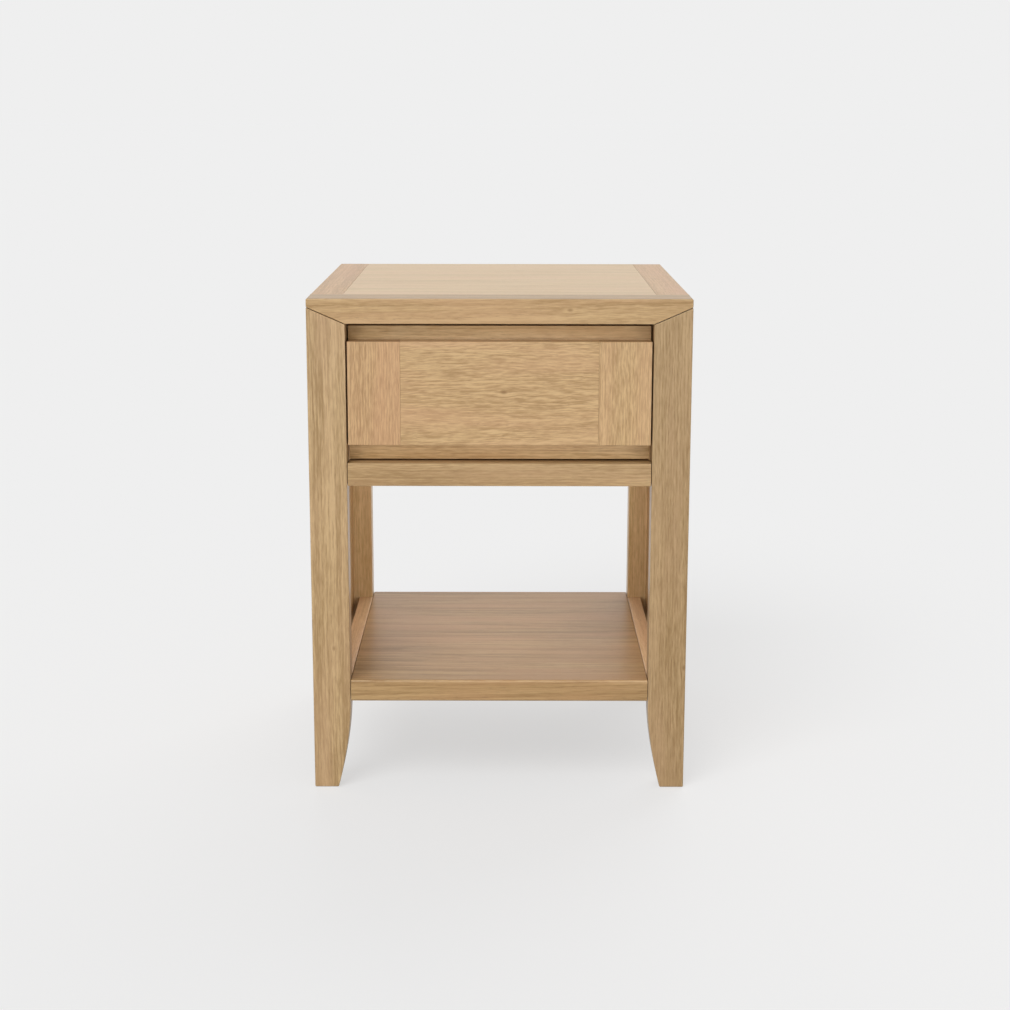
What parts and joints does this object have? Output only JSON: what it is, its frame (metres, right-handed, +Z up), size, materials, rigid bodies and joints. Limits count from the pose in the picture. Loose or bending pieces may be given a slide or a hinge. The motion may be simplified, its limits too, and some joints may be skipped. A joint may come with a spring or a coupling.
{
  "type": "nightstand",
  "caption": "Oak nightstand: framed top, four tapered legs, one inset drawer with finger recesses above and below its raised front, and an open shelf bay.",
  "frame": {"origin": "on the floor, under the middle of the top", "axes": "+Z up, +X to the right seen from the front, the drawer opens towards -Y"},
  "size_m": [0.45, 0.42, 0.6],
  "materials": {
    "top_oak": "satin lacquered oak, pale",
    "frame_oak": "satin lacquered oak, honey tan",
    "shelf_oak": "satin lacquered oak, grain across",
    "drawer_front_oak": "satin lacquered oak, warm",
    "drawer_backing_oak": "satin lacquered oak, darker",
    "drawer_box_wood": "clear matt birch",
    "dowel_beech": "bare beech",
    "slide_steel": "bright zinc plate",
    "screw_zinc": "zinc plate"
  },
  "bodies": {
    "carcass": {"drawer_front_rail": "frame_oak", "dust_panel": "frame_oak", "front_left_leg": "frame_oak", "front_right_leg": "frame_oak", "left_runner_rail": "frame_oak", "left_runner_screw_1": "screw_zinc", "left_runner_screw_2": "screw_zinc", "left_shelf_dowel_1": "dowel_beech", "left_shelf_dowel_2": "dowel_beech", "left_shelf_rail": "frame_oak", "left_side_panel": "frame_oak", "left_slide_cabinet_member": "slide_steel", "left_top_cleat": "frame_oak", "left_top_screw_1": "screw_zinc", "left_top_screw_2": "screw_zinc", "rear_left_leg": "frame_oak", "rear_lower_rail": "frame_oak", "rear_panel": "frame_oak", "rear_right_leg": "frame_oak", "rear_top_rail": "frame_oak", "right_runner_rail": "frame_oak", "right_runner_screw_1": "screw_zinc", "right_runner_screw_2": "screw_zinc", "right_shelf_dowel_1": "dowel_beech", "right_shelf_dowel_2": "dowel_beech", "right_shelf_rail": "frame_oak", "right_side_panel": "frame_oak", "right_slide_cabinet_member": "slide_steel", "right_top_cleat": "frame_oak", "right_top_screw_1": "screw_zinc", "right_top_screw_2": "screw_zinc", "shelf_panel": "shelf_oak", "top_centre_panel": "top_oak", "top_front_lipping": "top_oak", "top_left_band": "top_oak", "top_right_band": "top_oak"},
    "drawer": {"drawer_back": "drawer_box_wood", "drawer_backing_board": "drawer_backing_oak", "drawer_bottom": "drawer_box_wood", "drawer_front_left_stile": "drawer_front_oak", "drawer_front_panel": "drawer_front_oak", "drawer_front_right_stile": "drawer_front_oak", "drawer_left_side": "drawer_box_wood", "drawer_right_side": "drawer_box_wood", "left_drawer_screw_1": "screw_zinc", "left_drawer_screw_2": "screw_zinc", "left_front_screw_1": "screw_zinc", "left_front_screw_2": "screw_zinc", "left_slide_drawer_member": "slide_steel", "right_drawer_screw_1": "screw_zinc", "right_drawer_screw_2": "screw_zinc", "right_front_screw_1": "screw_zinc", "right_front_screw_2": "screw_zinc", "right_slide_drawer_member": "slide_steel"},
    "left_slide_middle": {"left_slide_middle_member": "slide_steel"},
    "right_slide_middle": {"right_slide_middle_member": "slide_steel"}
  },
  "joints": [
    {"name": "drawer_slide", "type": "slide", "parent": "carcass", "child": "drawer", "axis": [0, -1, 0], "range_m": [0, 0.27]},
    {"name": "left_middle_slide", "type": "slide", "parent": "carcass", "child": "left_slide_middle", "axis": [0, -1, 0], "range_m": [0, 0.135]},
    {"name": "right_middle_slide", "type": "slide", "parent": "carcass", "child": "right_slide_middle", "axis": [0, -1, 0], "range_m": [0, 0.135]}
  ],
  "couplings": [
    {"joint": "left_middle_slide", "follows": "drawer_slide", "ratio": 0.5},
    {"joint": "right_middle_slide", "follows": "drawer_slide", "ratio": 0.5}
  ]
}
